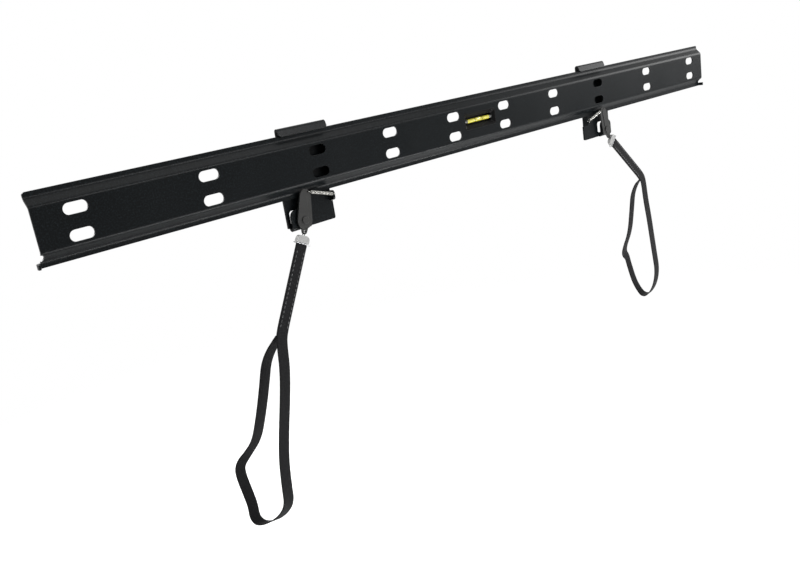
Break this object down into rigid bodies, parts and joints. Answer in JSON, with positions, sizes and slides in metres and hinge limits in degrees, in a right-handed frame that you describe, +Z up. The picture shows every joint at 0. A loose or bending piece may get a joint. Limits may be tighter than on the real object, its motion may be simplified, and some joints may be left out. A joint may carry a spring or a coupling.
{
  "type": "fixed television wall bracket",
  "caption": "Black steel wall rail with a bubble level and sliding hook-on hangers, each latched by a sprung lever with a webbing pull strap.",
  "frame": {"origin": "on the wall, in the middle of the rail's slot pattern", "axes": "+X along the rail, +Y from the wall towards the television, +Z up"},
  "size_m": [0.857, 0.0559, 0.3255],
  "materials": {
    "black_coat": "fine-textured semi-gloss black powder coat",
    "lever_coat": "satin black coat",
    "rivet_steel": "plain zinc-plated steel",
    "spring_steel": "bright drawn spring wire",
    "crimp_metal": "matt light grey metal",
    "webbing": "woven black webbing",
    "string": "thin black cord",
    "black_plastic": "moulded black plastic",
    "vial": "clear acrylic with yellow-green fluid"
  },
  "bodies": {
    "rail": {"wall_rail": "black_coat", "level_holder": "black_plastic", "level_vial": "vial"},
    "left_hanger": {"left_hook_plate": "black_coat", "left_lever_rivet": "rivet_steel", "left_lever_washer": "rivet_steel", "left_latch_spring": "spring_steel"},
    "left_latch": {"left_lever": "lever_coat"},
    "left_pull": {"left_strap_string": "string", "left_strap_crimp": "crimp_metal", "left_strap_keeper": "rivet_steel", "left_strap_webbing": "webbing"},
    "right_hanger": {"right_hook_plate": "black_coat", "right_lever_rivet": "rivet_steel", "right_lever_washer": "rivet_steel", "right_latch_spring": "spring_steel"},
    "right_latch": {"right_lever": "lever_coat"},
    "right_pull": {"right_strap_string": "string", "right_strap_crimp": "crimp_metal", "right_strap_keeper": "rivet_steel", "right_strap_webbing": "webbing"}
  },
  "joints": [
    {"name": "left_slide", "type": "slide", "parent": "rail", "child": "left_hanger", "axis": [1, 0, 0], "range_m": [-0.185, 0.175]},
    {"name": "left_release", "type": "hinge", "parent": "left_hanger", "child": "left_latch", "pos_m": [-0.2192, 0.0019, -0.0438], "axis": [0, -1, 0], "range_deg": [0, 60], "stiffness_Nm_per_rad": 0.01, "springref_deg": -57.3, "deforming": ["left_latch_spring"]},
    {"name": "left_strap_swing", "type": "hinge", "parent": "left_latch", "child": "left_pull", "pos_m": [-0.2219, 0.0019, -0.0526], "axis": [0, -1, 0], "range_deg": [-42, 0]},
    {"name": "right_slide", "type": "slide", "parent": "rail", "child": "right_hanger", "axis": [1, 0, 0], "range_m": [-0.165, 0.195]},
    {"name": "right_release", "type": "hinge", "parent": "right_hanger", "child": "right_latch", "pos_m": [0.2086, 0.0019, -0.0438], "axis": [0, 1, 0], "range_deg": [0, 60], "stiffness_Nm_per_rad": 0.01, "springref_deg": -57.3, "deforming": ["right_latch_spring"]},
    {"name": "right_strap_swing", "type": "hinge", "parent": "right_latch", "child": "right_pull", "pos_m": [0.2113, 0.0019, -0.0526], "axis": [0, 1, 0], "range_deg": [-42, 0]}
  ],
  "couplings": [
    {"joint": "left_strap_swing", "follows": "left_release", "ratio": -0.7},
    {"joint": "right_strap_swing", "follows": "right_release", "ratio": -0.7}
  ]
}
